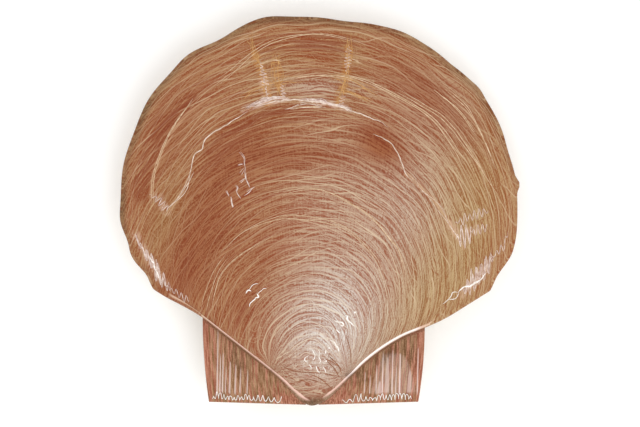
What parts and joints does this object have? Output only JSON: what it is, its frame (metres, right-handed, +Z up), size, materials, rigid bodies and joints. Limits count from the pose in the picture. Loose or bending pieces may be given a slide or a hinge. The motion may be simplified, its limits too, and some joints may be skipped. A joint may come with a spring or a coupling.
{
  "type": "scallop in shell",
  "caption": "Closed sea scallop in its shell: two fan-shaped valves with ears, joined along a straight hinge, lying on the flatter valve.",
  "frame": {"origin": "centre of the shell's box, at floor level under the lower valve", "axes": "+Z up through the more domed valve, +Y from the hinge to the free margin, +X along the hinge"},
  "size_m": [0.1228, 0.1198, 0.0303],
  "materials": {
    "upper_shell": "satin",
    "lower_shell": "satin",
    "ligament": "matte"
  },
  "bodies": {
    "root": {"upper_valve": "upper_shell", "lower_valve": "lower_shell", "hinge_ligament": "ligament"}
  },
  "joints": []
}
